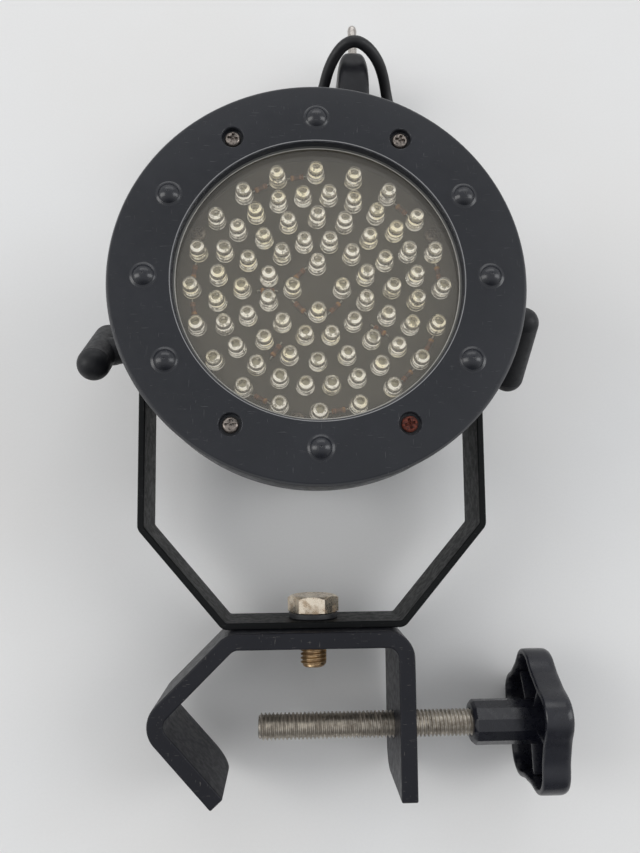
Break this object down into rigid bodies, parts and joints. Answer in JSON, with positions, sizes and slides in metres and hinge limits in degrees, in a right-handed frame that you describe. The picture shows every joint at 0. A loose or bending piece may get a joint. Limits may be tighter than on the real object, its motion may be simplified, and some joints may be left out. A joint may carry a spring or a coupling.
{
  "type": "stage spot light head",
  "caption": "Round LED spot head in a tilting strip yoke with T-bar locks, bolted to a hook-shaped pipe clamp with a star-knob screw and a mains cord.",
  "frame": {"origin": "centre of the flat rear face that the head stands on", "axes": "+Z along the beam, out of the window; X is the tilt axis; -Y points towards the clamp"},
  "size_m": [0.1808, 0.3266, 0.1199],
  "materials": {
    "bezel_paint": "satin black paint with dust and worn edges",
    "can_paint": "satin black paint",
    "yoke_paint": "satin black powder coat, chipped at the bends",
    "clamp_paint": "black satin enamel, rubbed edges",
    "screw_steel": "dull cross-head screws, one of them rusty",
    "window_glass": "clear flat window",
    "clear_rubber": "grey translucent gasket",
    "board_laminate": "dark glass-fibre laminate",
    "lamp_epoxy": "clear epoxy lamps with a warm die",
    "resistor_body": "lacquered resistor bodies",
    "brass_parts": "turned brass",
    "nylon_parts": "natural nylon",
    "transformer_core": "varnished lamination stack",
    "capacitor_sleeve": "shrink sleeve",
    "wire_sheath": "thin coloured wire sheath",
    "cord_sheath": "satin black round cord",
    "gland_plastic": "moulded nylon",
    "seal_rubber": "black rubber",
    "boss_alloy": "turned, painted black outside",
    "bar_plastic": "moulded black grip",
    "stud_steel": "zinc-plated",
    "plated_bolt": "yellowed zinc plating",
    "thread_steel": "worn threaded rod",
    "knob_plastic": "gloss black moulded star knob",
    "plug_plastic": "moulded black plug",
    "pin_nickel": "nickel-plated pins"
  },
  "bodies": {
    "clamp": {"clamp_frame": "clamp_paint", "yoke_bolt": "plated_bolt", "yoke_washer": "yoke_paint"},
    "yoke": {"yoke": "yoke_paint", "friction_ring_left": "seal_rubber", "friction_ring_right": "seal_rubber"},
    "lock_left": {"lock_bar_left": "bar_plastic", "lock_stud_left": "stud_steel", "lock_washer_left": "stud_steel"},
    "lock_right": {"lock_bar_right": "bar_plastic", "lock_stud_right": "stud_steel", "lock_washer_right": "stud_steel"},
    "clamp_screw": {"clamp_screw": "thread_steel"},
    "star_knob": {"star_knob": "knob_plastic", "knob_insert": "brass_parts"},
    "head": {"bezel_rivets": "bezel_paint", "bezel_screws": "screw_steel", "board_resistors": "resistor_body", "board_screws": "screw_steel", "board_standoffs": "brass_parts", "cable_gland": "gland_plastic", "can_body": "can_paint", "cord_coil": "cord_sheath", "cord_feed": "cord_sheath", "cord_tail": "cord_sheath", "flange_screws": "screw_steel", "front_bezel": "bezel_paint", "front_collar": "bezel_paint", "gland_cap": "gland_plastic", "gland_lock_nut": "gland_plastic", "gland_seal": "seal_rubber", "lamp_board": "board_laminate", "lamp_ring_1": "lamp_epoxy", "lamp_ring_2": "lamp_epoxy", "lamp_ring_3": "lamp_epoxy", "lamp_ring_4": "lamp_epoxy", "lamp_ring_5": "lamp_epoxy", "lamp_wires": "wire_sheath", "pivot_boss_left": "boss_alloy", "pivot_boss_right": "boss_alloy", "plug_body": "plug_plastic", "plug_pins": "pin_nickel", "plug_relief": "plug_plastic", "rear_cover": "can_paint", "rear_cover_screws": "screw_steel", "supply_board": "board_laminate", "supply_capacitors": "capacitor_sleeve", "supply_lead": "cord_sheath", "supply_screws": "screw_steel", "supply_standoffs": "nylon_parts", "supply_transformer": "transformer_core", "terminal_block": "nylon_parts", "window_gasket": "clear_rubber", "window_glass": "window_glass"}
  },
  "joints": [
    {"name": "yoke_swivel", "type": "hinge", "parent": "clamp", "child": "yoke", "pos_m": [0, -0.10561, 0.02935], "axis": [0, 0.9963, 0.0854], "range_deg": [-175, 175]},
    {"name": "head_tilt", "type": "hinge", "parent": "yoke", "child": "head", "pos_m": [0, 0, 0.0384], "axis": [1, 0, 0], "range_deg": [-110, 35]},
    {"name": "lock_left_turn", "type": "hinge", "parent": "head", "child": "lock_left", "pos_m": [-0.0826, 0, 0.0384], "axis": [1, 0, 0], "range_deg": [-360, 360]},
    {"name": "lock_right_turn", "type": "hinge", "parent": "head", "child": "lock_right", "pos_m": [0.0826, 0, 0.0384], "axis": [1, 0, 0], "range_deg": [-360, 360]},
    {"name": "clamp_screw_travel", "type": "slide", "parent": "clamp", "child": "clamp_screw", "axis": [1, 0, 0], "range_m": [-0.022, 0.045]},
    {"name": "star_knob_turn", "type": "hinge", "parent": "clamp_screw", "child": "star_knob", "pos_m": [0.084, -0.14417, 0.02604], "axis": [1, 0, 0], "range_deg": [-5260, 10780]}
  ],
  "couplings": [
    {"joint": "clamp_screw_travel", "follows": "star_knob_turn", "m_per_rad": 0.00023873}
  ]
}
